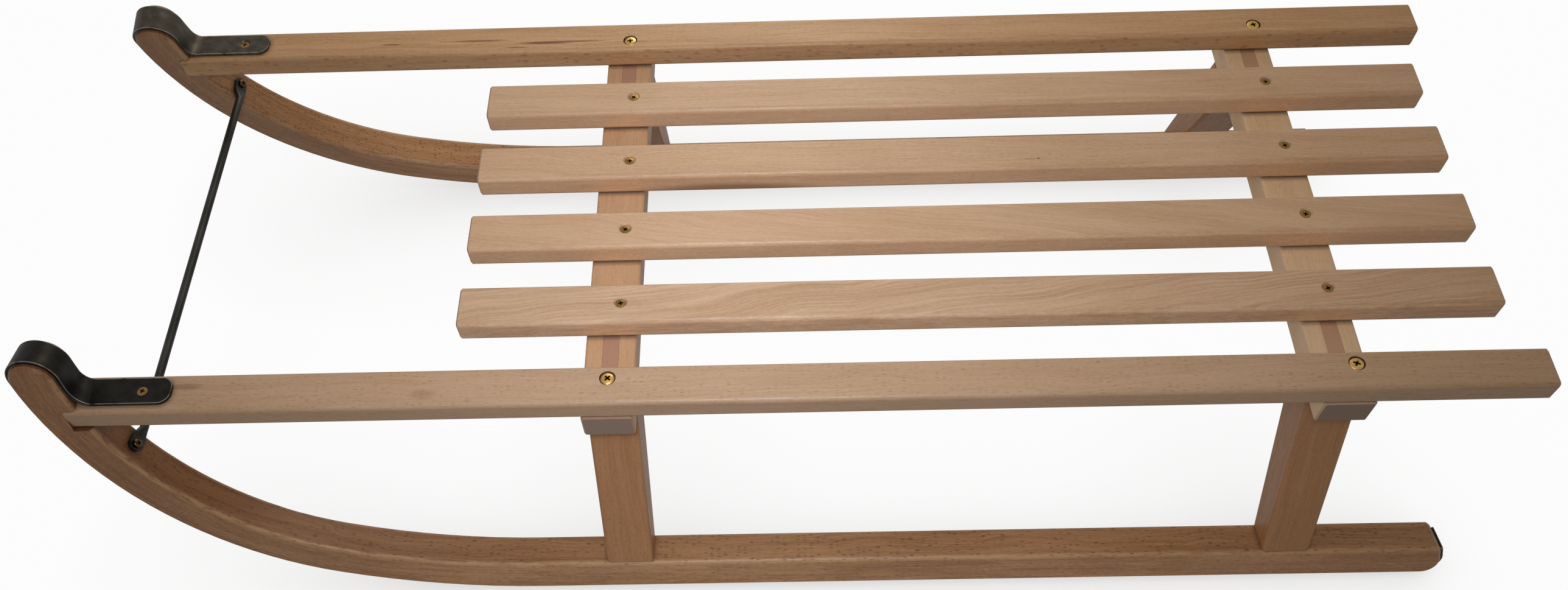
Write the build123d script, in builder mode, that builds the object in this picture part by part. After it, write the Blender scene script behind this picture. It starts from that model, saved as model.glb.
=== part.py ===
# Davos sled: bent runners shod with steel straps, leaning posts, crossbars, side rails and seat slats.
# Millimetres. X points to the nose, Y to the left, Z up. The origin is under the middle of the sled.
import os
from math import acos, cos, degrees, radians, sin, sqrt

from build123d import *

os.makedirs("parts", exist_ok=True)

# Seat: rails and slats
rail_length_back = 500.0
rail_width = 30.0
stock_thickness = 18.0
seat_top_z = 206.0
slat_width = 33.0
slat_count = 4
slat_edge_gap = 35.4
slat_front_x = 222.0
slat_setback = 15.0
stock_edge_radius = 3.5
stock_end_bevel = 1.2
housing_depth = 9.6

# Crossbars, whose ends are flush with the rails
crossbar_length = 360.0
crossbar_width = 35.0
crossbar_height = 22.0
crossbar_edge_radius = 2.0
crossbar_spacing = 490.0
rear_overhang = 127.5

# Runners, bent in a plane that leans in at the top
runner_lean = 12.0
runner_width = 28.0
runner_thickness = 29.0
runner_edge_radius = 3.5
runner_edge_bevel = 2.0
runner_proud = 0.4
bend_start_x = 186.5
long_bend_radius = 520.0
long_bend_angle = 17.0
front_bend_radius = 225.0
nose_rise = 36.4
heel_setback = 3.0
heel_lean = 10.0
heel_radius = 12.0
notch_clearance = 0.1

# Straps
strap_width = 20.0
strap_thickness = 2.5
strap_heel_rise = 25.0
strap_bend_radius = 10.0
tongue_length = 52.4
tongue_corner_radius = 8.0
tongue_screw_inset = 19.5

# Posts, as wide as the crossbars, and their tenons
post_edge_radius = 3.0
post_foot_inset = 1.2
post_top_inset = 16.5
post_top_depth = 40.5
tenon_thickness = 11.0
stub_depth = 15.0
stub_width = 18.0
tenon_root = 2.0
tenon_clearance = 0.1

# Tow rod
rod_diameter = 6.0
rod_angle = 65.0
eye_width = 10.0
eye_thickness = 3.0
eye_root = 6.0
eye_clearance = 0.1
rod_stop = 15.0

# Screw seats
rail_screw_seat = 11.0
rail_screw_depth = 3.0
rail_screw_inset = 5.0
slat_screw_seat = 9.5
small_screw_hole = 4.5
small_screw_seat = 8.6

# Values that follow from the sizes above
lean_sin = sin(radians(runner_lean))
lean_cos = cos(radians(runner_lean))
sole_z = strap_width / 2 * lean_sin + strap_thickness * lean_cos
seat_bottom_z = seat_top_z - stock_thickness
rail_middle_z = seat_top_z - stock_thickness / 2
crossbar_bottom_z = seat_bottom_z - crossbar_height
crossbar_back_x = rear_overhang - rail_length_back
crossbar_front_x = crossbar_back_x + crossbar_spacing
post_width = crossbar_width
slat_back_x = slat_setback - rail_length_back
rail_y = (crossbar_length - rail_width) / 2
rail_screw_y = rail_y - rail_screw_inset
slat_spread = crossbar_length - 2 * (rail_width + slat_edge_gap) - slat_width
slat_pitch = slat_spread / (slat_count - 1)
slat_screw_depth = slat_screw_seat / 2
post_top_outer_y = crossbar_length / 2 - post_top_inset
post_top_inner_y = post_top_outer_y - post_top_depth

# The outer face of a runner comes level with the outer face of the rail that ends in it
runner_top_y = crossbar_length / 2 + runner_proud - runner_width / 2 / lean_cos
runner_foot_y = runner_top_y + (rail_middle_z - sole_z) * lean_sin / lean_cos
heel_x = heel_setback - rail_length_back
heel_top_x = heel_x + heel_lean
strap_tip = (heel_x + heel_lean * strap_heel_rise / runner_thickness, strap_heel_rise)

# The front bend runs on until the nose stands high enough above the seat
nose_radius = runner_thickness / 2
back_radius = front_bend_radius - runner_thickness
bend_center_x = bend_start_x + (long_bend_radius - front_bend_radius) * sin(radians(long_bend_angle))
bend_center_v = long_bend_radius - (long_bend_radius - front_bend_radius) * cos(radians(long_bend_angle))
nose_center_v = (seat_top_z + nose_rise - sole_z) / lean_cos - nose_radius
nose_angle = degrees(acos((bend_center_v - nose_center_v) / (front_bend_radius - nose_radius)))
front_bend_angle = nose_angle - long_bend_angle

# Each rail ends in a housing in the concave face of its runner
housing_angle = acos((bend_center_v - (rail_middle_z - sole_z) / lean_cos) / back_radius)
rail_front_x = bend_center_x + back_radius * sin(housing_angle) + housing_depth

# Where a strap leaves the back of the nose, on the middle of its thickness
leave_z = seat_top_z + strap_thickness / 2 + strap_bend_radius
leave_v = (leave_z - sole_z) / lean_cos
leave_angle = degrees(acos((bend_center_v - leave_v) / (back_radius - strap_thickness / 2)))
leave_x = bend_center_x + (back_radius - strap_thickness / 2) * sin(radians(leave_angle))
leave_y = runner_foot_y - leave_v * lean_sin
tongue_start_x = leave_x - strap_bend_radius
tongue_end_x = tongue_start_x - tongue_length
tongue_screw_x = tongue_end_x + tongue_screw_inset
tongue_y = runner_foot_y - (seat_top_z - sole_z) / lean_cos * lean_sin

# Columns: name, x of the crossbar, offset in x of its rail screws, offset in x of its slat screws
crossbars = [
    ("front", crossbar_front_x, -2.0, -7.5),
    ("rear", crossbar_back_x, -1.5, 2.0),
]

# Columns: name, side of the sled (1 is left)
sides = [("left", 1), ("right", -1)]


def runner_plane(side):
    """Plane of one runner: local x forward, local y up the runner from the sole, local z across it."""
    return Plane(origin=(0, side * runner_foot_y, sole_z), x_dir=(1, 0, 0), z_dir=(0, -lean_cos, -side * lean_sin))


def runner_point(side, v, n):
    """Y and Z of a point v up one runner from its sole and n out from its middle."""
    return (side * (runner_foot_y - v * lean_sin + n * lean_cos), sole_z + v * lean_cos + n * lean_sin)


def cross_plane(x):
    """Upright plane across the sled: local x to the left, local y up."""
    return Plane(origin=(x, 0, 0), x_dir=(0, 1, 0), z_dir=(1, 0, 0))


def carried_on(low, high, z):
    """Point at height z on the line from low through high."""
    share = (z - low[1]) / (high[1] - low[1])
    return (low[0] + (high[0] - low[0]) * share, z)


def post_corners(side):
    """Corners of a post in its cross plane: foot outer, top outer, top inner, foot inner."""
    half = runner_width / 2 - post_foot_inset
    return [
        runner_point(side, runner_thickness, half),
        (side * post_top_outer_y, crossbar_bottom_z),
        (side * post_top_inner_y, crossbar_bottom_z),
        runner_point(side, runner_thickness, -half),
    ]


def tenon_corners(side):
    """Corners of the through tenon, in line with the post, from below its shoulder to the top of the crossbar."""
    foot_outer, top_outer, top_inner, foot_inner = post_corners(side)
    low_z = crossbar_bottom_z - tenon_root
    return [
        carried_on(foot_outer, top_outer, low_z),
        carried_on(foot_outer, top_outer, seat_bottom_z),
        carried_on(foot_inner, top_inner, seat_bottom_z),
        carried_on(foot_inner, top_inner, low_z),
    ]


def mortise_corners(side):
    """Corners of the slanted through mortise, which runs past both faces of the crossbar."""
    foot_outer, top_outer, top_inner, foot_inner = post_corners(side)
    gap = side * tenon_clearance
    corners = []
    for low, high, shift in ((foot_outer, top_outer, gap), (foot_inner, top_inner, -gap)):
        ends = [carried_on(low, high, crossbar_bottom_z - tenon_root), carried_on(low, high, seat_bottom_z + tenon_root)]
        corners.append([(y + shift, z) for y, z in ends])
    return [corners[0][0], corners[0][1], corners[1][1], corners[1][0]]


def stub_corners(side, clearance):
    """Corners of the stub tenon below the foot of a post, or of its mortise."""
    half = stub_width / 2 + clearance
    high = runner_thickness + tenon_root
    low = runner_thickness - stub_depth - clearance
    return [runner_point(side, v, n) for v, n in ((high, half), (low, half), (low, -half), (high, -half))]


def rod_seat(side):
    """Plane on the concave face of one runner at the rod: local x outwards, local z off the face."""
    face_x = bend_center_x + back_radius * sin(radians(rod_angle))
    y, z = runner_point(side, bend_center_v - back_radius * cos(radians(rod_angle)), 0)
    up = cos(radians(rod_angle))
    normal = (-sin(radians(rod_angle)), -side * up * lean_sin, up * lean_cos)
    return Plane(origin=(face_x, y, z), x_dir=(0, side * lean_cos, lean_sin), z_dir=normal)


def rod_end(side):
    """Plane across the round bar where it starts to flatten, facing the other end."""
    seat = rod_seat(side)
    center = seat.from_local_coords(Vector(-rod_stop, 0, rod_diameter / 2 + eye_clearance))
    return Plane(origin=center, x_dir=(1, 0, 0), z_dir=(0, -side, 0))


def eye_root_plane(side):
    """Plane across the flattened end where the eye starts: local x along the runner, facing the round bar."""
    seat = rod_seat(side)
    center = seat.from_local_coords(Vector(-eye_root, 0, eye_thickness / 2 + eye_clearance))
    return Plane(origin=center, x_dir=seat.y_dir, z_dir=-seat.x_dir)


def bend_planes(side):
    """Three planes across the bend of a strap, from the back of the nose to the top of the rail."""
    half_twist = radians(runner_lean / 2)
    slope = sqrt(0.5)
    start = runner_plane(side).from_local_coords(Vector(leave_x, leave_v, 0))
    middle_y = side * (leave_y + tongue_y) / 2
    middle = (leave_x - strap_bend_radius * (1 - slope), middle_y, leave_z - strap_bend_radius * slope)
    finish = (tongue_start_x, side * tongue_y, seat_top_z + strap_thickness / 2)
    down = Vector(-cos(radians(leave_angle)), side * sin(radians(leave_angle)) * lean_sin,
                  -sin(radians(leave_angle)) * lean_cos)
    across = (0, side * cos(half_twist), sin(half_twist))
    middle_down = Vector(-slope, slope * side * sin(half_twist), -slope * cos(half_twist))
    return [
        Plane(origin=start, x_dir=(0, side * lean_cos, lean_sin), z_dir=down),
        Plane(origin=middle, x_dir=across, z_dir=middle_down),
        Plane(origin=finish, x_dir=(0, side, 0), z_dir=(-1, 0, 0)),
    ]


def slat_y(index):
    """Middle of one slat across the sled."""
    return (index - (slat_count - 1) / 2) * slat_pitch


# Runners
for side_name, side in sides:
    with BuildPart() as runner:
        with BuildSketch(runner_plane(side)):
            with BuildLine():
                sole = Line((heel_x, 0), (bend_start_x, 0))
                long_out = JernArc(sole @ 1, (1, 0), long_bend_radius, long_bend_angle)
                front_out = JernArc(long_out @ 1, long_out % 1, front_bend_radius, front_bend_angle)
                nose = JernArc(front_out @ 1, front_out % 1, nose_radius, 180)
                front_in = JernArc(nose @ 1, nose % 1, back_radius, -front_bend_angle)
                long_in = JernArc(front_in @ 1, front_in % 1, long_bend_radius - runner_thickness, -long_bend_angle)
                top = Line(long_in @ 1, (heel_top_x, runner_thickness))
                Line(top @ 1, (heel_x, 0))
            make_face()
            fillet(vertices().sort_by(Axis.X)[0], heel_radius)
        extrude(amount=runner_width / 2, both=True)
        # Housing for the end of the rail
        with BuildSketch(Plane.XY.offset(seat_bottom_z - notch_clearance)):
            with Locations((rail_front_x - rail_width / 2, side * rail_y)):
                Rectangle(rail_width + 2 * notch_clearance, rail_width + runner_width)
        extrude(amount=stock_thickness + 2 * notch_clearance, mode=Mode.SUBTRACT)
        # Rounded edges along the top and the concave face, bevelled edges along the sole and round the nose
        top_face = faces().filter_by(lambda face: face.normal_at().Z > 0.5).sort_by(Axis.Z)[0]
        fillet(top_face.edges().filter_by(runner_plane(side)), runner_edge_radius)
        chamfer(faces().sort_by(Axis.Z)[0].edges().filter_by(runner_plane(side)), runner_edge_bevel)
        # Mortises for the posts
        for name, x, rail_shift, slat_shift in crossbars:
            with BuildSketch(cross_plane(x)):
                Polygon(*stub_corners(side, tenon_clearance), align=None)
            extrude(amount=tenon_thickness / 2 + tenon_clearance, both=True, mode=Mode.SUBTRACT)
    runner.part.label = f"runner_{side_name}"
    export_step(runner.part, f"parts/runner_{side_name}.step")

# Straps
for side_name, side in sides:
    with BuildPart() as strap:
        # Heel, sole, front bend, nose and back of the nose, wrapped round the runner
        with BuildLine(runner_plane(side)):
            heel = FilletPolyline(strap_tip, (heel_x, 0), (bend_start_x, 0), radius=heel_radius)
            long_bend = JernArc(heel @ 1, heel % 1, long_bend_radius, long_bend_angle)
            front_bend = JernArc(long_bend @ 1, long_bend % 1, front_bend_radius, front_bend_angle)
            nose = JernArc(front_bend @ 1, front_bend % 1, nose_radius, 180)
            JernArc(nose @ 1, nose % 1, back_radius, leave_angle - nose_angle)
        with BuildSketch(Plane(origin=heel @ 0, x_dir=runner_plane(side).z_dir, z_dir=heel % 0)):
            Rectangle(strap_width, strap_thickness, align=(Align.CENTER, Align.MIN))
        sweep()
        # Bend from the back of the nose to the top of the rail, twisted flat on the way
        for section in bend_planes(side):
            with BuildSketch(section):
                Rectangle(strap_width, strap_thickness)
        loft()
        # Tongue on the rail
        with BuildSketch(Plane.XY.offset(seat_top_z)):
            with Locations(((tongue_start_x + tongue_end_x) / 2, side * tongue_y)):
                Rectangle(tongue_start_x - tongue_end_x, strap_width)
            fillet(vertices().group_by(Axis.X)[0], tongue_corner_radius)
        extrude(amount=strap_thickness)
        with Locations((tongue_screw_x, side * tongue_y, seat_top_z + strap_thickness)):
            CounterSinkHole(small_screw_hole / 2, small_screw_seat / 2, depth=strap_thickness)
    strap.part.label = f"strap_{side_name}"
    export_step(strap.part, f"parts/strap_{side_name}.step")

# Rails
for side_name, side in sides:
    with BuildPart() as rail:
        with BuildSketch(cross_plane(-rail_length_back)):
            with Locations((side * rail_y, seat_top_z - stock_thickness / 2)):
                RectangleRounded(rail_width, stock_thickness, stock_edge_radius)
        extrude(amount=rail_front_x + rail_length_back)
        chamfer(faces().sort_by(Axis.X)[0].edges(), stock_end_bevel)
        for name, x, rail_shift, slat_shift in crossbars:
            with Locations((x + rail_shift, side * rail_screw_y, seat_top_z)):
                Hole(rail_screw_seat / 2, depth=rail_screw_depth)
    rail.part.label = f"rail_{side_name}"
    export_step(rail.part, f"parts/rail_{side_name}.step")

# Seat slats, counted from the right
for index in range(slat_count):
    with BuildPart() as slat:
        with BuildSketch(cross_plane(slat_back_x)):
            with Locations((slat_y(index), seat_top_z - stock_thickness / 2)):
                RectangleRounded(slat_width, stock_thickness, stock_edge_radius)
        extrude(amount=slat_front_x - slat_back_x)
        chamfer(faces().sort_by(Axis.X)[0].edges() + faces().sort_by(Axis.X)[-1].edges(), stock_end_bevel)
        for name, x, rail_shift, slat_shift in crossbars:
            with Locations((x + slat_shift, slat_y(index), seat_top_z)):
                Cone(0, slat_screw_seat / 2, slat_screw_depth, align=(Align.CENTER, Align.CENTER, Align.MAX), mode=Mode.SUBTRACT)
    slat.part.label = f"slat_{index + 1}"
    export_step(slat.part, f"parts/slat_{index + 1}.step")

# Crossbars
for name, x, rail_shift, slat_shift in crossbars:
    with BuildPart() as crossbar:
        with BuildSketch(Plane.XZ):
            with Locations((x, seat_bottom_z - crossbar_height / 2)):
                RectangleRounded(crossbar_width, crossbar_height, crossbar_edge_radius)
        extrude(amount=crossbar_length / 2, both=True)
        chamfer(faces().sort_by(Axis.Y)[0].edges() + faces().sort_by(Axis.Y)[-1].edges(), stock_end_bevel)
        for side_name, side in sides:
            with BuildSketch(cross_plane(x)):
                Polygon(*mortise_corners(side), align=None)
            extrude(amount=tenon_thickness / 2 + tenon_clearance, both=True, mode=Mode.SUBTRACT)
    crossbar.part.label = f"crossbar_{name}"
    export_step(crossbar.part, f"parts/crossbar_{name}.step")

# Posts
for name, x, rail_shift, slat_shift in crossbars:
    for side_name, side in sides:
        with BuildPart() as post:
            with BuildSketch(cross_plane(x)):
                Polygon(*post_corners(side), align=None)
            extrude(amount=post_width / 2, both=True)
            fillet(edges().filter_by(lambda edge: abs(edge.tangent_at(0.5).Z) > 0.5), post_edge_radius)
            with BuildSketch(cross_plane(x)):
                Polygon(*tenon_corners(side), align=None)
                Polygon(*stub_corners(side, 0.0), align=None)
            extrude(amount=tenon_thickness / 2, both=True)
        post.part.label = f"post_{name}_{side_name}"
        export_step(post.part, f"parts/post_{name}_{side_name}.step")

# Tow rod: a round bar with flattened eyes on the concave faces of the runners
with BuildPart() as tow_rod:
    with BuildSketch(rod_end(1)):
        Circle(rod_diameter / 2)
    extrude(amount=2 * rod_end(1).origin.Y)
    for side_name, side in sides:
        with BuildSketch(rod_end(side)):
            Circle(rod_diameter / 2)
        with BuildSketch(eye_root_plane(side)):
            Rectangle(eye_width, eye_thickness)
        loft()
        with BuildSketch(rod_seat(side).offset(eye_clearance)):
            Circle(eye_width / 2)
            with Locations((-eye_root / 2, 0)):
                Rectangle(eye_root, eye_width)
            Circle(small_screw_hole / 2, mode=Mode.SUBTRACT)
        extrude(amount=eye_thickness)
tow_rod.part.label = "tow_rod"
export_step(tow_rod.part, "parts/tow_rod.step")
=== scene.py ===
# Looks of the davos sled: beech whose grain follows each piece, dark steel straps and rod, brass screws.
# Metres. X points to the noses, Y to the sled's left, Z up.
from math import acos, cos, pi, radians, sin

import bmesh
import bpy
from mathutils import Matrix, Vector


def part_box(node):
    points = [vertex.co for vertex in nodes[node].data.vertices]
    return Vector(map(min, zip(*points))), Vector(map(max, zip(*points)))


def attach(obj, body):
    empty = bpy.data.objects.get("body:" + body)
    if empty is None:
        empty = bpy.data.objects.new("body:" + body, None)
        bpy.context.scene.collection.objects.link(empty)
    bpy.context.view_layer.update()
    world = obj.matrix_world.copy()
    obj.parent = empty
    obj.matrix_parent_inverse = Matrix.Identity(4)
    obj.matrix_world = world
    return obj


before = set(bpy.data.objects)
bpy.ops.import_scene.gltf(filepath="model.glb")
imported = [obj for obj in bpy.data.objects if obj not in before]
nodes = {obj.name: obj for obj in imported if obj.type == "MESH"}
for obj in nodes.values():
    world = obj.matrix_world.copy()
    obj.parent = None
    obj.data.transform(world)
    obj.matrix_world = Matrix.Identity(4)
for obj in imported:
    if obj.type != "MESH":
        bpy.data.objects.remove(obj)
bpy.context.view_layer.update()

# Sizes of the bent runners and their straps
runner_lean = radians(12.0)
runner_width = 0.028
runner_thickness = 0.029
runner_foot_y = 0.207
bend_start_x = 0.1865
long_bend_radius = 0.520
long_bend_angle = radians(17.0)
front_bend_radius = 0.225
nose_angle = radians(87.5)
strap_width = 0.020
strap_thickness = 0.0025
strap_bend_radius = 0.010
tongue_length = 0.0524
tongue_screw_inset = 0.0195

# Sizes of the other pieces
post_lean = radians(21.0)
rod_angle = radians(65.0)
eye_height = 0.0031
rail_screw_inset = 0.005
rail_screw_depth = 0.003
rail_screw_shift = {"front": -0.002, "rear": -0.0015}
slat_screw_shift = {"front": -0.0075, "rear": 0.002}
slat_screw_seat = 0.0095
tongue_screw_seat = 0.0086
rail_screw_tilt = radians(3.0)

# Sizes of what the materials draw
ring_spacing = 0.0026
pith_distance = 0.06
crevice_reach = 0.004
arris_width = 0.0012
rim_start = 0.0045
rim_full = 0.0012
hole_rim_start = 0.0055
hole_rim_end = 0.0070

# Values that follow from the frame and the sizes above
sides = {"left": 1, "right": -1}
ends = ("front", "rear")
slats = [f"slat_{number}" for number in range(1, 5)]
lean_sin = sin(runner_lean)
lean_cos = cos(runner_lean)
seat_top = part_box("slat_1")[1].z
sole_z = strap_width / 2 * lean_sin + strap_thickness * lean_cos
back_radius = front_bend_radius - runner_thickness
bend_center_x = bend_start_x + (long_bend_radius - front_bend_radius) * sin(long_bend_angle)
bend_center_up = long_bend_radius - (long_bend_radius - front_bend_radius) * cos(long_bend_angle)
leave_up = (seat_top + strap_thickness / 2 + strap_bend_radius - sole_z) / lean_cos
leave_radius = back_radius - strap_thickness / 2
leave_angle = acos((bend_center_up - leave_up) / leave_radius)
tongue_end_x = bend_center_x + leave_radius * sin(leave_angle) - strap_bend_radius - tongue_length
tongue_screw_x = tongue_end_x + tongue_screw_inset
tongue_y = runner_foot_y - (seat_top - sole_z) / lean_cos * lean_sin


def middle(node):
    """Middle of a CAD node's box."""
    low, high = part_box(node)
    return (Vector(low) + Vector(high)) / 2


def srgb(red, green, blue):
    """Linear colour of a display colour given in steps of 255."""
    def linear(step):
        share = step / 255
        return share / 12.92 if share <= 0.04045 else ((share + 0.055) / 1.055) ** 2.4
    return (linear(red), linear(green), linear(blue), 1.0)


class Graph:
    """Adds nodes to one material by short calls. A value is a number, a tuple or another node's socket."""

    def __init__(self, name):
        self.material = bpy.data.materials.new(name)
        self.material.use_nodes = True
        self.tree = self.material.node_tree
        self.shader = self.tree.nodes["Principled BSDF"]

    def put(self, socket, value):
        if isinstance(value, bpy.types.NodeSocket):
            self.tree.links.new(value, socket)
        else:
            socket.default_value = value

    def surface(self, **values):
        """Sets inputs of the surface shader, with underscores for the spaces in their names."""
        for name, value in values.items():
            self.put(self.shader.inputs[name.replace("_", " ")], value)

    def add(self, kind, settings, inputs):
        """Adds one node with its settings and its inputs, by name or by order."""
        node = self.tree.nodes.new(kind)
        for name, value in settings.items():
            setattr(node, name, value)
        for key, value in inputs.items():
            self.put(node.inputs[key], value)
        return node

    def math(self, operation, *values):
        return self.add("ShaderNodeMath", {"operation": operation}, dict(enumerate(values))).outputs[0]

    def dot(self, first, second):
        node = self.add("ShaderNodeVectorMath", {"operation": "DOT_PRODUCT"}, {0: first, 1: second})
        return node.outputs["Value"]

    def length(self, *parts):
        vector = self.combine(*parts)
        return self.add("ShaderNodeVectorMath", {"operation": "LENGTH"}, {0: vector}).outputs["Value"]

    def combine(self, x=0.0, y=0.0, z=0.0):
        return self.add("ShaderNodeCombineXYZ", {}, {0: x, 1: y, 2: z}).outputs[0]

    def separate(self, vector):
        return self.add("ShaderNodeSeparateXYZ", {}, {0: vector}).outputs

    def place(self):
        """Point of the surface in the frame."""
        return self.add("ShaderNodeTexCoord", {}, {}).outputs["Object"]

    def normal(self):
        return self.add("ShaderNodeNewGeometry", {}, {}).outputs["Normal"]

    def noise(self, vector, detail=2.0, roughness=0.5):
        inputs = {"Vector": vector, "Scale": 1.0, "Detail": detail, "Roughness": roughness}
        return self.add("ShaderNodeTexNoise", {}, inputs).outputs[0]

    def cells(self, vector):
        """Distance to the nearest of scattered points, and a random share of each point."""
        node = self.add("ShaderNodeTexVoronoi", {}, {"Vector": vector, "Scale": 1.0})
        return node.outputs["Distance"], self.separate(node.outputs["Color"])[0]

    def ease(self, value, low, high):
        """Smooth step of value, 0 at low and 1 at high."""
        settings = {"interpolation_type": "SMOOTHSTEP"}
        return self.add("ShaderNodeMapRange", settings, {0: value, 1: low, 2: high}).outputs[0]

    def choose(self, share, first, second):
        """First number where share is 0 and second where it is 1."""
        return self.add("ShaderNodeMix", {"data_type": "FLOAT"}, {0: share, 2: first, 3: second}).outputs[0]

    def mix(self, share, first, second, blend="MIX"):
        """First colour where share is 0 and second where it is 1."""
        settings = {"data_type": "RGBA", "blend_type": blend}
        return self.add("ShaderNodeMix", settings, {0: share, 6: first, 7: second}).outputs[2]

    def bump(self, height, strength, distance):
        inputs = {"Height": height, "Strength": strength, "Distance": distance}
        return self.add("ShaderNodeBump", {}, inputs).outputs[0]

    def crevice(self, reach):
        """1 deep in a corner and 0 on an open face."""
        node = self.add("ShaderNodeAmbientOcclusion", {"samples": 2}, {"Distance": reach})
        return self.ease(node.outputs["AO"], 0.95, 0.2)

    def arris(self, radius):
        """1 along sharp edges and 0 on flat faces."""
        rounded = self.add("ShaderNodeBevel", {"samples": 4}, {"Radius": radius}).outputs[0]
        return self.ease(self.dot(rounded, self.normal()), 0.995, 0.90)


class Grain:
    """Grain space of one piece: along, across and through it, with shares of end grain and of side faces.

    A bent piece also has shares of its upper rim, drawn lighter, of its inner face in the bend, which takes
    painted shade and light, and of its bent end, which takes painted shade.
    """

    def __init__(self, along, across, depth, end, side, rim=None, inner=None, bent=None):
        self.along = along
        self.across = across
        self.depth = depth
        self.end = end
        self.side = side
        self.rim = rim
        self.inner = inner
        self.bent = bent


def straight_grain(graph, axis, across):
    """Grain of a straight piece. The point is measured along its axis, across it and through it."""
    place = graph.place()
    normal = graph.normal()
    measured = [graph.dot(place, tuple(direction)) for direction in (axis, across, axis.cross(across))]
    end = graph.ease(graph.math("ABSOLUTE", graph.dot(normal, tuple(axis))), 0.6, 0.85)
    side = graph.ease(graph.math("ABSOLUTE", graph.dot(normal, tuple(across))), 0.5, 0.9)
    return Grain(*measured, end, side)


def bent_grain(graph, side):
    """Grain of a runner, which follows its bends."""
    x, y, z = graph.separate(graph.place())
    out = graph.math("MULTIPLY_ADD", y, side, -runner_foot_y)
    rise = graph.math("SUBTRACT", z, sole_z)
    up = graph.math("SUBTRACT", graph.math("MULTIPLY", rise, lean_cos), graph.math("MULTIPLY", out, lean_sin))
    across = graph.math("ADD", graph.math("MULTIPLY", out, lean_cos), graph.math("MULTIPLY", rise, lean_sin))

    def turn(center_x, center_up):
        """Angle of the point round a bend, from straight down, and its distance from the bend's middle."""
        ahead = graph.math("SUBTRACT", x, center_x)
        drop = graph.math("SUBTRACT", center_up, up)
        return graph.math("ARCTAN2", ahead, drop), graph.length(ahead, drop)

    long_turn, long_reach = turn(bend_start_x, long_bend_radius)
    front_turn, front_reach = turn(bend_center_x, bend_center_up)
    long_part = graph.math("MINIMUM", graph.math("MAXIMUM", long_turn, 0.0), long_bend_angle)
    front_part = graph.math("MAXIMUM", graph.math("SUBTRACT", front_turn, long_bend_angle), 0.0)
    along = graph.math("MULTIPLY_ADD", long_part, long_bend_radius, graph.math("MINIMUM", x, bend_start_x))
    along = graph.math("MULTIPLY_ADD", front_part, front_bend_radius, along)
    in_long = graph.math("GREATER_THAN", x, bend_start_x)
    in_front = graph.math("GREATER_THAN", front_turn, long_bend_angle)
    in_front = graph.math("MULTIPLY", in_front, in_long)
    depth = graph.choose(in_long, up, graph.math("SUBTRACT", long_bend_radius, long_reach))
    depth = graph.choose(in_front, depth, graph.math("SUBTRACT", front_bend_radius, front_reach))
    flat = graph.math("ABSOLUTE", graph.dot(graph.normal(), (0.0, side * lean_cos, lean_sin)))
    side_share = graph.ease(flat, 0.5, 0.9)
    nose = graph.math("MULTIPLY", graph.ease(front_turn, nose_angle, nose_angle + 0.03), in_front)
    heel = graph.ease(graph.dot(graph.normal(), (-1.0, 0.0, 0.0)), 0.6, 0.85)
    heel = graph.math("MULTIPLY", heel, graph.math("LESS_THAN", x, 0.0))
    end = graph.math("MULTIPLY", graph.math("MAXIMUM", nose, heel), graph.math("SUBTRACT", 1.0, side_share))
    half = runner_width / 2
    outer = graph.ease(graph.math("ABSOLUTE", across), half - rim_start, half - rim_full)
    upper = graph.ease(depth, runner_thickness - rim_start, runner_thickness - rim_full)
    rim = graph.math("MULTIPLY", outer, upper)
    # Share of the inner face in the bend, which takes painted shade and light
    inner = graph.math("MULTIPLY", graph.ease(along, 0.08, 0.36), graph.math("SUBTRACT", 1.0, side_share))
    # Share of the painted shade that darkens the runner toward its nose
    bent = graph.ease(along, 0.22, 0.50)
    return Grain(along, across, depth, end, side_share, rim, inner, bent)


class Tone:
    """Colours of one kind of beech. The side is a tint that side faces take: painted light and shade that
    sets them lighter or darker than the tops.
    """

    def __init__(self, light, dark, line, end, side=1.0):
        self.light = srgb(*light)
        self.dark = srgb(*dark)
        self.line = srgb(*line)
        self.end = srgb(*end)
        self.side = (side, side, side, 1.0)


class Board:
    """What tells one board from another: colours, place in the tree, figure and its slope, flecks and marks.

    Rings is how strongly they show in the end grain. A bent board also has the tint of its inner face in
    the bend, which is painted shade where it darkens and painted light where it lightens. Flecks is the share
    of places that have one, ink is how dark they are, and their size is given along and across the grain.
    Blotches is the share of the larger ones on the sides.
    """

    def __init__(self, tone, seed, figure=0.6, slope=0.0, flecks=0.4, rings=0.3, marks=(), inner=None,
                 ink=0.25, fleck_size=(0.0044, 0.0009), blotches=0.0):
        self.tone = tone
        self.seed = seed
        self.figure = figure
        self.slope = slope
        self.flecks = flecks
        self.rings = rings
        self.marks = marks
        self.inner = inner
        self.ink = ink
        self.fleck_size = fleck_size
        self.blotches = blotches


# The last number of a tone is painted light on its side faces: above 1 lighter than the tops, below 1 darker
near_rail_tone = Tone((206, 176, 148), (186, 153, 122), (140, 102, 74), (150, 131, 120))
far_rail_tone = Tone((214, 175, 134), (188, 145, 103), (124, 70, 35), (150, 128, 112), 0.95)
slat_tone = Tone((219, 188, 158), (192, 156, 123), (146, 106, 78), (150, 131, 120), 1.22)
far_slat_tone = Tone((222, 189, 157), (198, 161, 126), (146, 106, 78), (150, 131, 120), 1.15)
front_bar_tone = Tone((216, 178, 140), (198, 157, 119), (140, 98, 68), (158, 138, 128), 1.1)
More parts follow.
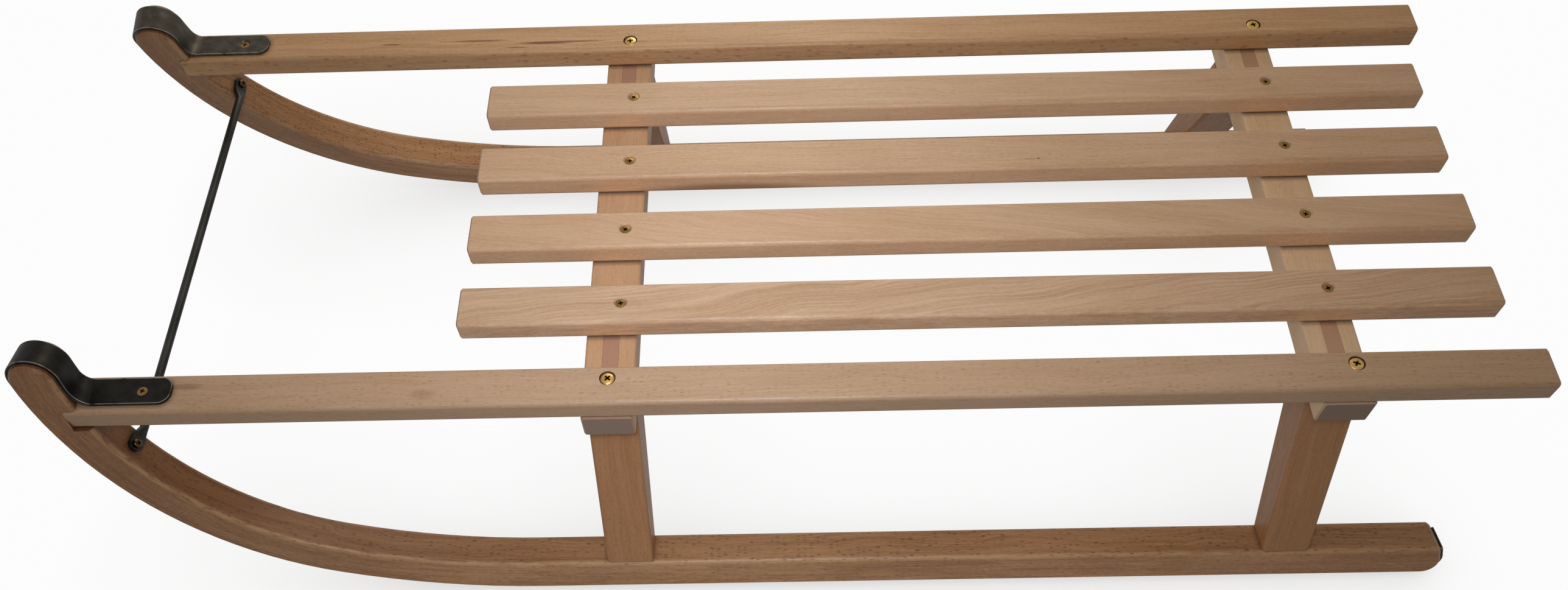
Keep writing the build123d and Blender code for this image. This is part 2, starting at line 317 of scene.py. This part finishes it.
# The rear crossbar is paler than the front one: partly its own lighter wood, partly painted light that lifts
# it against the shade between the slats
rear_bar_tone = Tone((246, 220, 182), (232, 200, 160), (150, 106, 74), (140, 122, 108), 1.15)
post_tones = {
    "front": Tone((194, 147, 106), (170, 122, 83), (104, 66, 40), (195, 152, 128), 1.05),
    "rear": Tone((194, 149, 108), (170, 124, 85), (104, 66, 40), (214, 176, 144), 1.05),
}
runner_tone = Tone((194, 152, 112), (152, 109, 73), (70, 42, 25), (160, 112, 76), 1.25)
rim_color = srgb(204, 168, 130)
# Painted shade that darkens the runners toward their noses, where the light falls off
nose_shade = (0.74, 0.72, 0.70, 1.0)
# Painted shade that darkens the wood in corners and along joints
corner_shade = srgb(52, 35, 24)


def beech(name, grain_of, board):
    """Beech: streaks along the grain, fine fibres, short dark flecks, end grain and single marks.

    A mark is a dark streak, knot or patch: its place along, across and through the piece, its three half
    sizes and its strength.
    """
    graph = Graph(name)
    grain = grain_of(graph)
    tone = board.tone
    seed = board.seed
    sway = graph.noise(graph.combine(
        graph.math("MULTIPLY_ADD", grain.along, 9.0, seed),
        graph.math("MULTIPLY_ADD", grain.across, 20.0, seed),
    ))
    slant = graph.math("MULTIPLY_ADD", grain.along, board.slope, grain.across)
    slant = graph.math("MULTIPLY_ADD", sway, 0.022, slant)

    def drawn(along_scale, cross_scale, shift):
        """Grain space scaled for a texture, in the board's own place in the tree."""
        return graph.combine(
            graph.math("MULTIPLY_ADD", grain.along, along_scale, seed + shift),
            graph.math("MULTIPLY_ADD", slant, cross_scale, 1.7 * seed + shift),
            graph.math("MULTIPLY_ADD", grain.depth, cross_scale, 2.3 * seed + shift),
        )

    cloud = graph.ease(graph.noise(drawn(9.0, 30.0, 1.0)), 0.30, 0.70)
    band = graph.ease(graph.noise(drawn(6.0, 130.0, 0.0), 3.0), 0.32, 0.68)
    streak = graph.ease(graph.noise(drawn(10.0, 520.0, 3.0), 3.0), 0.32, 0.68)
    fibre = graph.ease(graph.noise(drawn(28.0, 1900.0, 8.0), 3.0, 0.62), 0.30, 0.72)
    pore = graph.ease(graph.noise(drawn(280.0, 1000.0, 9.0)), 0.30, 0.70)
    patch = graph.ease(graph.noise(drawn(14.0, 90.0, 6.0), 1.0), 0.15, 0.45)
    spot, pick = graph.cells(drawn(1 / board.fleck_size[0], 1 / board.fleck_size[1], 2.0))
    fleck = graph.math("MULTIPLY", graph.ease(spot, 0.50, 0.15), graph.math("LESS_THAN", pick, board.flecks))
    hidden = graph.math("MULTIPLY_ADD", grain.side, 0.45, grain.end)
    fleck = graph.math("MAXIMUM", graph.math("MULTIPLY", fleck, graph.math("SUBTRACT", patch, hidden)), 0.0)
    round_pith = graph.length(slant, graph.math("SUBTRACT", grain.depth, pith_distance))
    ring = graph.math("SINE", graph.math("MULTIPLY", round_pith, 2 * pi / ring_spacing))

    figure = board.figure
    shares = ((cloud, 0.25), (band, 0.5 * figure), (streak, 0.5 * figure), (fibre, 0.5), (pore, 0.3))
    shade = 0.5 - sum(share for _, share in shares) / 2
    for part, share in shares:
        shade = graph.math("MULTIPLY_ADD", part, share, shade)
    color = graph.mix(shade, tone.light, tone.dark)
    # Painted light and shade: side faces lighter or darker than the tops by the tone's side tint
    color = graph.mix(grain.side, color, tone.side, "MULTIPLY")
    if board.inner:
        ragged = graph.ease(graph.noise(drawn(70.0, 500.0, 5.0), 4.0, 0.6), 0.32, 0.60)
        # Painted shade on the near runner's inner face in the bend and painted light on the far one's, by the
        # board's tint
        color = graph.mix(grain.inner, color, board.inner, "MULTIPLY")
        # Painted shade: the runner darkens toward its nose
        color = graph.mix(grain.bent, color, nose_shade, "MULTIPLY")
        # The upper arrises are drawn lighter in a ragged band
        lighter_rim = graph.math("MULTIPLY", graph.math("MULTIPLY", grain.rim, ragged), 0.7)
        color = graph.mix(lighter_rim, color, rim_color)
    color = graph.mix(graph.math("MULTIPLY", fleck, board.ink), color, tone.line)
    if board.blotches:
        spot, pick = graph.cells(drawn(125.0, 300.0, 4.0))
        picked = graph.math("LESS_THAN", pick, board.blotches)
        blotch = graph.math("MULTIPLY", graph.ease(spot, 0.45, 0.10), picked)
        blotch = graph.math("MULTIPLY", blotch, graph.math("MULTIPLY", grain.side, 0.42))
        color = graph.mix(blotch, color, tone.line)
    end_shade = graph.math("MULTIPLY_ADD", ring, 0.5 * board.rings, 0.5 * board.rings)
    end_shade = graph.math("MULTIPLY_ADD", fibre, 0.25, end_shade)
    color = graph.mix(grain.end, color, graph.mix(end_shade, tone.end, tone.line))
    for place, halves, strength in board.marks:
        reach = graph.length(*(
            graph.math("MULTIPLY_ADD", part, 1 / half, -spot_place / half)
            for part, spot_place, half in zip((grain.along, grain.across, grain.depth), place, halves)
        ))
        color = graph.mix(graph.math("MULTIPLY", graph.ease(reach, 1.0, 0.3), strength), color, tone.line)
    # Painted shade: darker in corners and along joints, where the ambient occlusion finds the surface closed
    # in
    color = graph.mix(graph.math("MULTIPLY", graph.crevice(crevice_reach), 0.75), color, corner_shade)
    height = graph.math("MULTIPLY_ADD", fibre, -0.35, graph.math("MULTIPLY", fleck, -1.0))
    graph.surface(
        Base_Color=color,
        Roughness=graph.choose(fibre, 0.32, 0.46),
        Specular_IOR_Level=0.4,
        Normal=graph.bump(height, 0.4, 0.00015),
    )
    return graph.material


def rolled_steel(name, color, grain_of, arris_color=None, hole=None):
    """Dark rolled steel, drawn along its length.

    Where an arris colour is given, its arrises are drawn brighter in it, but for the rim of the hole at x and
    y.
    """
    graph = Graph(name)
    along, across, depth = grain_of(graph)

    def drawn(along_scale, cross_scale):
        return graph.combine(
            graph.math("MULTIPLY", along, along_scale),
            graph.math("MULTIPLY", across, cross_scale),
            graph.math("MULTIPLY", depth, cross_scale),
        )

    lines = graph.noise(drawn(20.0, 1600.0))
    patches = graph.noise(drawn(50.0, 150.0), 3.0)
    dark = tuple(0.6 * part for part in color[:3]) + (1.0,)
    shade = graph.mix(graph.ease(patches, 0.3, 0.7), dark, color)
    if arris_color:
        # Brighter along the sharp arrises, in patches, but not round the screw hole
        edge = graph.math("MULTIPLY", graph.arris(arris_width), graph.ease(patches, 0.25, 0.5))
        x, y = graph.separate(graph.place())[:2]
        away = graph.length(graph.math("SUBTRACT", x, hole[0]), graph.math("SUBTRACT", y, hole[1]))
        edge = graph.math("MULTIPLY", edge, graph.ease(away, hole_rim_start, hole_rim_end))
        shade = graph.mix(graph.math("MULTIPLY", edge, 0.9), shade, arris_color)
    graph.surface(
        Base_Color=shade,
        Metallic=0.85,
        Roughness=graph.math("MULTIPLY_ADD", graph.ease(lines, 0.3, 0.7), 0.10, 0.36),
        Normal=graph.bump(lines, 0.06, 0.0001),
    )
    return graph.material


def brass(name, color, deep):
    """Brass of a screw head, with painted shade in its recess, and fine turning marks."""
    graph = Graph(name)
    x, y, z = graph.separate(graph.place())
    turning = graph.math("SINE", graph.math("MULTIPLY", graph.length(x, y), 26000.0))
    spread = graph.combine(graph.math("MULTIPLY", x, 700.0), graph.math("MULTIPLY", y, 700.0), z)
    stain = graph.noise(spread, 3.0)
    stained = tuple(0.7 * part for part in color[:3]) + (1.0,)
    shade = graph.mix(graph.ease(stain, 0.35, 0.7), color, stained)
    # Painted shade: darker below the head's top, in the recess
    shade = graph.mix(graph.ease(z, -0.0001, -0.0007), shade, deep)
    graph.surface(
        Base_Color=shade,
        Metallic=1.0,
        Roughness=graph.math("MULTIPLY_ADD", stain, 0.2, 0.22),
        Normal=graph.bump(turning, 0.06, 0.00005),
    )
    return graph.material


def dress(node, material):
    """Gives a CAD node one material."""
    for slot in nodes[node].material_slots:
        slot.material = material


X = Vector((1, 0, 0))
Y = Vector((0, 1, 0))


def along_x(graph):
    return straight_grain(graph, X, Y)


def along_y(graph):
    return straight_grain(graph, Y, X)


def dress_seat():
    """Rails and slats, each from its own board."""
    # Dark patch on the rail's top just behind the strap tongue's end, and a brown patch further back
    near_rail_marks = (
        ((0.3955, 0.1603, 0.206), (0.014, 0.0036, 0.004), 0.55),
        ((0.237, 0.1700, 0.206), (0.013, 0.0056, 0.004), 0.30),
    )
    far_rail_marks = (
        ((0.182, -0.1598, 0.206), (0.029, 0.0024, 0.003), 0.95),
        ((0.158, -0.1605, 0.206), (0.031, 0.0015, 0.003), 0.80),
        ((0.236, -0.1636, 0.206), (0.030, 0.0017, 0.003), 0.75),
        ((0.205, -0.1552, 0.206), (0.012, 0.0012, 0.003), 0.65),
        ((0.306, -0.1619, 0.206), (0.011, 0.0012, 0.003), 0.75),
        ((0.120, -0.1586, 0.206), (0.030, 0.0008, 0.003), 0.45),
    )
    knot = (
        ((-0.1899, -0.0248, 0.206), (0.0016, 0.0013, 0.003), 0.95),
        ((-0.1840, -0.0246, 0.206), (0.0070, 0.0006, 0.003), 0.60),
    )
    wane = ((0.035, -0.0162, 0.190), (0.085, 0.004, 0.009), 0.8)
    boards = {
        "rail_left": Board(near_rail_tone, 3.1, 0.4, 0.0, 0.24, marks=near_rail_marks, ink=0.42),
        "rail_right": Board(far_rail_tone, 11.4, 0.7, 0.01, 0.25, marks=far_rail_marks, ink=0.2,
                            blotches=0.4),
        "slat_1": Board(far_slat_tone, 19.7, 0.45, 0.02, 0.1),
        "slat_2": Board(far_slat_tone, 24.2, 0.45, 0.03, 0.2, marks=knot + (wane,)),
        "slat_3": Board(far_slat_tone, 35.9, 0.5, 0.15, 0.0),
        "slat_4": Board(slat_tone, 47.3, 0.95, -0.13, 0.0),
    }
    for node, board in boards.items():
        dress(node, beech(node, along_x, board))


def dress_frame():
    """Crossbars, posts and runners."""
    for number, (end, tone) in enumerate((("front", front_bar_tone), ("rear", rear_bar_tone))):
        node = f"crossbar_{end}"
        dress(node, beech(node, along_y, Board(tone, 61.0 + 5.1 * number, 0.5, flecks=0.15, rings=0.08)))
        for name, side in sides.items():
            node = f"post_{end}_{name}"
            axis = Vector((0, -side * sin(post_lean), cos(post_lean)))
            board = Board(post_tones[end], 83.0 + 4.7 * number + side, 0.6, 0.0, 0.25, 0.0)
            dress(node, beech(node, lambda graph: straight_grain(graph, axis, X), board))
    # Tints of the inner face in the bend: painted shade on the near runner, painted light on the far one
    bend_face_light_and_shade = {"left": (0.72, 0.62, 0.54, 1.0), "right": (1.15, 1.08, 0.96, 1.0)}
    runner_flecks = {"left": (0.30, (0.0050, 0.0018)), "right": (0.42, (0.0038, 0.0014))}
    for name, side in sides.items():
        node = f"runner_{name}"
        flecks, fleck_size = runner_flecks[name]
        board = Board(runner_tone, 107.0 + 9.0 * side, 0.75, 0.0, flecks, inner=bend_face_light_and_shade[name],
                      ink=0.55, fleck_size=fleck_size)
        dress(node, beech(node, lambda graph: bent_grain(graph, side), board))


def dress_steel():
    """Straps and tow rod."""
    # One steel for both straps: the far one painted lighter and browner for the reflection it shows, the near
    # one painted darker
    strap_lit_and_shaded_colors = {"left": (0.026, 0.0245, 0.0215, 1.0), "right": (0.105, 0.092, 0.072, 1.0)}
    bright = (0.50, 0.48, 0.44, 1.0)
    for name, side in sides.items():
        def strap_grain(graph):
            grain = bent_grain(graph, side)
            return grain.along, grain.across, grain.depth
        node = f"strap_{name}"
        hole = (tongue_screw_x, side * tongue_y)
        dress(node, rolled_steel(node, strap_lit_and_shaded_colors[name], strap_grain, bright, hole))

    def rod_grain(graph):
        x, y, z = graph.separate(graph.place())
        return y, x, z
    dress("tow_rod", rolled_steel("tow_rod", (0.058, 0.059, 0.054, 1.0), rod_grain))


# Facets of a screw head, the shares of it that its recess takes, and the turn from one screw to the next
head_segments = 48
crown_steps = 8
recess_span = 0.6
recess_width = 0.17
recess_depth = 0.75
recess_clearance = 0.001
screw_turn = 2.4

# Columns of a kind of screw: head diameter, head height, dome, countersunk or not
screw_kinds = {
    "rail": (0.0096, 0.0024, 0.0006, False),
    "slat": (0.0074, 0.0019, 0.0003, True),
    "tongue": (0.0070, 0.0016, 0.0003, True),
    "eye": (0.0066, 0.0018, 0.0008, False),
}


def lathe(profile):
    """Closed mesh turned from (radius, height) points, from the top middle to the bottom middle."""
    mesh = bmesh.new()
    rings = []
    for radius, height in profile:
        if radius == 0:
            rings.append([mesh.verts.new((0, 0, height))])
            continue
        turns = [2 * pi * step / head_segments for step in range(head_segments)]
        rings.append([mesh.verts.new((radius * cos(turn), radius * sin(turn), height)) for turn in turns])
    for upper, lower in zip(rings, rings[1:]):
        for step in range(head_segments):
            after = (step + 1) % head_segments
            left = [ring[step % len(ring)] for ring in (upper, lower)]
            right = [ring[after % len(ring)] for ring in (lower, upper)]
            mesh.faces.new(list(dict.fromkeys(left + right)))
    return mesh


def cross_cutter(span, width, depth, top):
    """Tapered cross that cuts a screw's recess, from above its head."""
    mesh = bmesh.new()
    far = span / 2
    near = width / 2
    outline = [(far, -near), (far, near), (near, near), (near, far), (-near, far), (-near, near),
               (-far, near), (-far, -near), (-near, -near), (-near, -far), (near, -far), (near, -near)]
    upper = [mesh.verts.new((x, y, top)) for x, y in outline]
    lower = []
    for x, y in outline:
        narrow = (0.5, 0.62) if abs(x) > abs(y) else (0.62, 0.5)
        lower.append(mesh.verts.new((x * narrow[0], y * narrow[1], -depth)))
    mesh.faces.new(upper)
    mesh.faces.new(lower[::-1])
    count = len(outline)
    for step in range(count):
        after = (step + 1) % count
        mesh.faces.new((upper[step], lower[step], lower[after], upper[after]))
    return mesh


def as_object(name, mesh):
    """Scene object from a bmesh, with its faces turned outwards."""
    bmesh.ops.recalc_face_normals(mesh, faces=mesh.faces)
    data = bpy.data.meshes.new(name)
    mesh.to_mesh(data)
    mesh.free()
    made = bpy.data.objects.new(name, data)
    bpy.context.scene.collection.objects.link(made)
    return made


def head_profile(diameter, height, dome, countersunk):
    """Profile of a screw head whose rim's top is at height 0."""
    radius = diameter / 2
    crown = []
    for step in range(crown_steps):
        crown.append((radius * step / crown_steps, dome * (1 - (step / crown_steps) ** 2)))
    rim = 0.12 * height
    if countersunk:
        return crown + [(radius, 0), (radius, -rim), (radius - height + rim, -height), (0, -height)]
    return crown + [(radius - rim, 0.0), (radius, -rim), (radius, -height), (0, -height)]


def screw_mesh(kind):
    """Screw head with a cross recess, as mesh data that its copies share."""
    diameter, height, dome, countersunk = screw_kinds[kind]
    head = as_object(f"{kind}_screw", lathe(head_profile(diameter, height, dome, countersunk)))
    top = dome + recess_clearance
    cutter = cross_cutter(recess_span * diameter, recess_width * diameter, recess_depth * height, top)
    recess = as_object("recess", cutter)
    cut = head.modifiers.new("recess", "BOOLEAN")
    cut.object = recess
    cut.solver = "EXACT"
    made = bpy.data.meshes.new_from_object(head.evaluated_get(bpy.context.evaluated_depsgraph_get()))
    for part in (head, recess):
        bpy.data.objects.remove(part)
    made.name = f"{kind}_screw"
    made.shade_smooth()
    made.set_sharp_from_angle(angle=radians(35))
    return made


def add_screws():
    """Every screw head, in its seat, each turned its own way."""
    meshes = {kind: screw_mesh(kind) for kind in screw_kinds}
    # The second colour of each brass is the painted shade in its screws' recesses
    gold = brass("screw_brass", (0.72, 0.46, 0.15, 1.0), (0.06, 0.035, 0.01, 1.0))
    bronze = brass("screw_bronze", (0.34, 0.205, 0.070, 1.0), (0.03, 0.018, 0.007, 1.0))
    dull = brass("screw_dull", (0.12, 0.075, 0.032, 1.0), (0.02, 0.012, 0.006, 1.0))
    count = 0

    def add(name, kind, place, axis, material):
        nonlocal count
        mesh = meshes[kind]
        if not mesh.materials:
            mesh.materials.append(material)
        piece = bpy.data.objects.new(name, mesh)
        count += 1
        turn = Matrix.Rotation(screw_turn * count, 4, "Z")
        tilt = Matrix.Rotation(rail_screw_tilt if kind == "rail" else 0.0, 4, "X")
        aim = Vector(axis).to_track_quat("Z", "Y").to_matrix().to_4x4()
        piece.matrix_world = Matrix.Translation(place) @ aim @ turn @ tilt
        bpy.context.scene.collection.objects.link(piece)
        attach(piece, "root")

    up = (0, 0, 1)
    slat_head_drop = (slat_screw_seat - screw_kinds["slat"][0]) / 2
    tongue_head_drop = (tongue_screw_seat - screw_kinds["tongue"][0]) / 2
    for end in ends:
        bar_x = middle(f"crossbar_{end}").x
        for name, side in sides.items():
            rail_y = middle(f"rail_{name}").y - side * rail_screw_inset
            top = seat_top - rail_screw_depth + screw_kinds["rail"][1]
            add(f"rail_screw_{end}_{name}", "rail", (bar_x + rail_screw_shift[end], rail_y, top), up, gold)
        for slat in slats:
            place = (bar_x + slat_screw_shift[end], middle(slat).y, seat_top - slat_head_drop)
            add(f"{slat}_screw_{end}", "slat", place, up, bronze)
    for name, side in sides.items():
        tongue_place = (tongue_screw_x, side * tongue_y, seat_top + strap_thickness - tongue_head_drop)
        add(f"tongue_screw_{name}", "tongue", tongue_place, up, bronze)
        normal = Vector((-sin(rod_angle), -side * cos(rod_angle) * lean_sin, cos(rod_angle) * lean_cos))
        seat_up = bend_center_up - back_radius * cos(rod_angle)
        seat_x = bend_center_x + back_radius * sin(rod_angle)
        seat = Vector((seat_x, side * (runner_foot_y - seat_up * lean_sin), sole_z + seat_up * lean_cos))
        add(f"eye_screw_{name}", "eye", seat + normal * (eye_height + screw_kinds["eye"][1]), normal, dull)


# Camera at the photograph's viewing angle, on a frame of 2576 by 969 pixels
image_width = 2576.0
image_height = 969.0
camera_place = Vector((-0.000135, 0.614289, 0.890483))
camera_turn = radians(2.323)
camera_drop = radians(58.815)
camera_roll = radians(3.085)
focal_pixels = 2051.425
center_pixel_x = 1244.564
center_pixel_y = 702.13
sensor_mm = 36.0


def add_camera():
    """Camera with the photograph's place, aim, lens and shift."""
    flat = cos(camera_drop)
    ahead = Vector((sin(camera_turn) * flat, -cos(camera_turn) * flat, -sin(camera_drop)))
    level = ahead.cross(Vector((0, 0, 1))).normalized()
    below = ahead.cross(level)
    right = level * cos(camera_roll) + below * sin(camera_roll)
    down = below * cos(camera_roll) - level * sin(camera_roll)
    data = bpy.data.cameras.new("camera")
    data.sensor_fit = "HORIZONTAL"
    data.sensor_width = sensor_mm
    data.lens = focal_pixels * sensor_mm / image_width
    data.shift_x = (image_width / 2 - center_pixel_x) / image_width
    data.shift_y = (center_pixel_y - image_height / 2) / image_width
    data.clip_start = 0.01
    camera = bpy.data.objects.new("camera", data)
    turn = Matrix((right, -down, -ahead)).transposed()
    camera.matrix_world = Matrix.Translation(camera_place) @ turn.to_4x4()
    bpy.context.scene.collection.objects.link(camera)
    bpy.context.scene.camera = camera


# Floor and light. The mirror share is how white the floor and the room are in reflections.
floor_half = 8.0
shadow_reach = 0.16
mirror_share = 0.4
room_color = (1.0, 0.83, 0.62, 1)
room_strength = 0.22
white_light = (1.0, 1.0, 1.06)
warm_light = (1.0, 0.90, 0.76)


def add_floor():
    """Pale floor, white to the camera, with the sled's soft shadow. It is clear from below."""
    mesh = bpy.data.meshes.new("floor")
    corners = [(floor_half * x, floor_half * y, 0) for x, y in ((-1, -1), (1, -1), (1, 1), (-1, 1))]
    mesh.from_pydata(corners, [], [(0, 1, 2, 3)])
    floor = bpy.data.objects.new("floor", mesh)
    bpy.context.scene.collection.objects.link(floor)
    graph = Graph("floor_white")
    graph.tree.nodes.remove(graph.shader)
    paths = graph.add("ShaderNodeLightPath", {}, {}).outputs
    mirrored = graph.math("MULTIPLY", paths["Is Glossy Ray"], mirror_share)
    seen = graph.math("MAXIMUM", paths["Is Camera Ray"], mirrored)
    shadow = graph.add("ShaderNodeAmbientOcclusion", {"samples": 2}, {"Distance": shadow_reach})
    shaded = graph.mix(shadow.outputs["AO"], srgb(205, 203, 200), (1, 1, 1, 1))
    matt = graph.add("ShaderNodeBsdfDiffuse", {}, {"Color": (0.45, 0.45, 0.45, 1.0)})
    white = graph.add("ShaderNodeEmission", {}, {"Color": shaded})
    share = graph.math("MULTIPLY", seen, 0.97)
    blend = graph.add("ShaderNodeMixShader", {}, {0: share, 1: matt.outputs[0], 2: white.outputs[0]})
    below = graph.add("ShaderNodeNewGeometry", {}, {}).outputs["Backfacing"]
    clear = graph.add("ShaderNodeBsdfTransparent", {}, {})
    surface = graph.add("ShaderNodeMixShader", {}, {0: below, 1: blend.outputs[0], 2: clear.outputs[0]})
    graph.put(graph.tree.nodes["Material Output"].inputs["Surface"], surface.outputs[0])
    mesh.materials.append(graph.material)


def add_lamp(name, place, target, width, length, watts, spread, color):
    """Soft oval lamp aimed at a target, with its length across the sled."""
    data = bpy.data.lights.new(name, "AREA")
    data.shape = "ELLIPSE"
    data.size = width
    data.size_y = length
    data.energy = watts
    data.spread = spread
    data.color = color
    lamp = bpy.data.objects.new(name, data)
    lamp.location = place
    lamp.rotation_euler = (Vector(target) - Vector(place)).to_track_quat("-Z", "Y").to_euler()
    lamp.visible_camera = False
    bpy.context.scene.collection.objects.link(lamp)


def add_world():
    """Dim warm surroundings, white to the camera and paler in reflections."""
    world = bpy.data.worlds.new("world")
    bpy.context.scene.world = world
    world.use_nodes = True
    tree = world.node_tree
    tree.nodes.clear()
    output = tree.nodes.new("ShaderNodeOutputWorld")
    room = tree.nodes.new("ShaderNodeBackground")
    room.inputs["Color"].default_value = room_color
    room.inputs["Strength"].default_value = room_strength
    white = tree.nodes.new("ShaderNodeBackground")
    white.inputs["Color"].default_value = (0.98, 0.98, 0.98, 1)
    paths = tree.nodes.new("ShaderNodeLightPath")
    mirrored = tree.nodes.new("ShaderNodeMath")
    mirrored.operation = "MULTIPLY"
    mirrored.inputs[1].default_value = mirror_share
    seen = tree.nodes.new("ShaderNodeMath")
    seen.operation = "MAXIMUM"
    blend = tree.nodes.new("ShaderNodeMixShader")
    tree.links.new(paths.outputs["Is Glossy Ray"], mirrored.inputs[0])
    tree.links.new(paths.outputs["Is Camera Ray"], seen.inputs[0])
    tree.links.new(mirrored.outputs[0], seen.inputs[1])
    tree.links.new(seen.outputs[0], blend.inputs[0])
    tree.links.new(room.outputs[0], blend.inputs[1])
    tree.links.new(white.outputs[0], blend.inputs[2])
    tree.links.new(blend.outputs[0], output.inputs[0])


dress_seat()
dress_frame()
dress_steel()
add_screws()
add_camera()
add_floor()
add_world()
add_lamp("top", (0.045, 0.20, 0.90), (0.045, 0.15, 0.0), 0.30, 0.90, 0.372, radians(100), white_light)
add_lamp("front", (0.045, 0.62, 1.02), (0.045, 0.02, 0.15), 0.22, 0.22, 0.62, radians(70), white_light)
add_lamp("back", (0.0, -1.10, 0.75), (0.0, 0.0, 0.12), 0.70, 0.70, 3.6, radians(180), warm_light)

bpy.context.scene.view_settings.view_transform = "Standard"
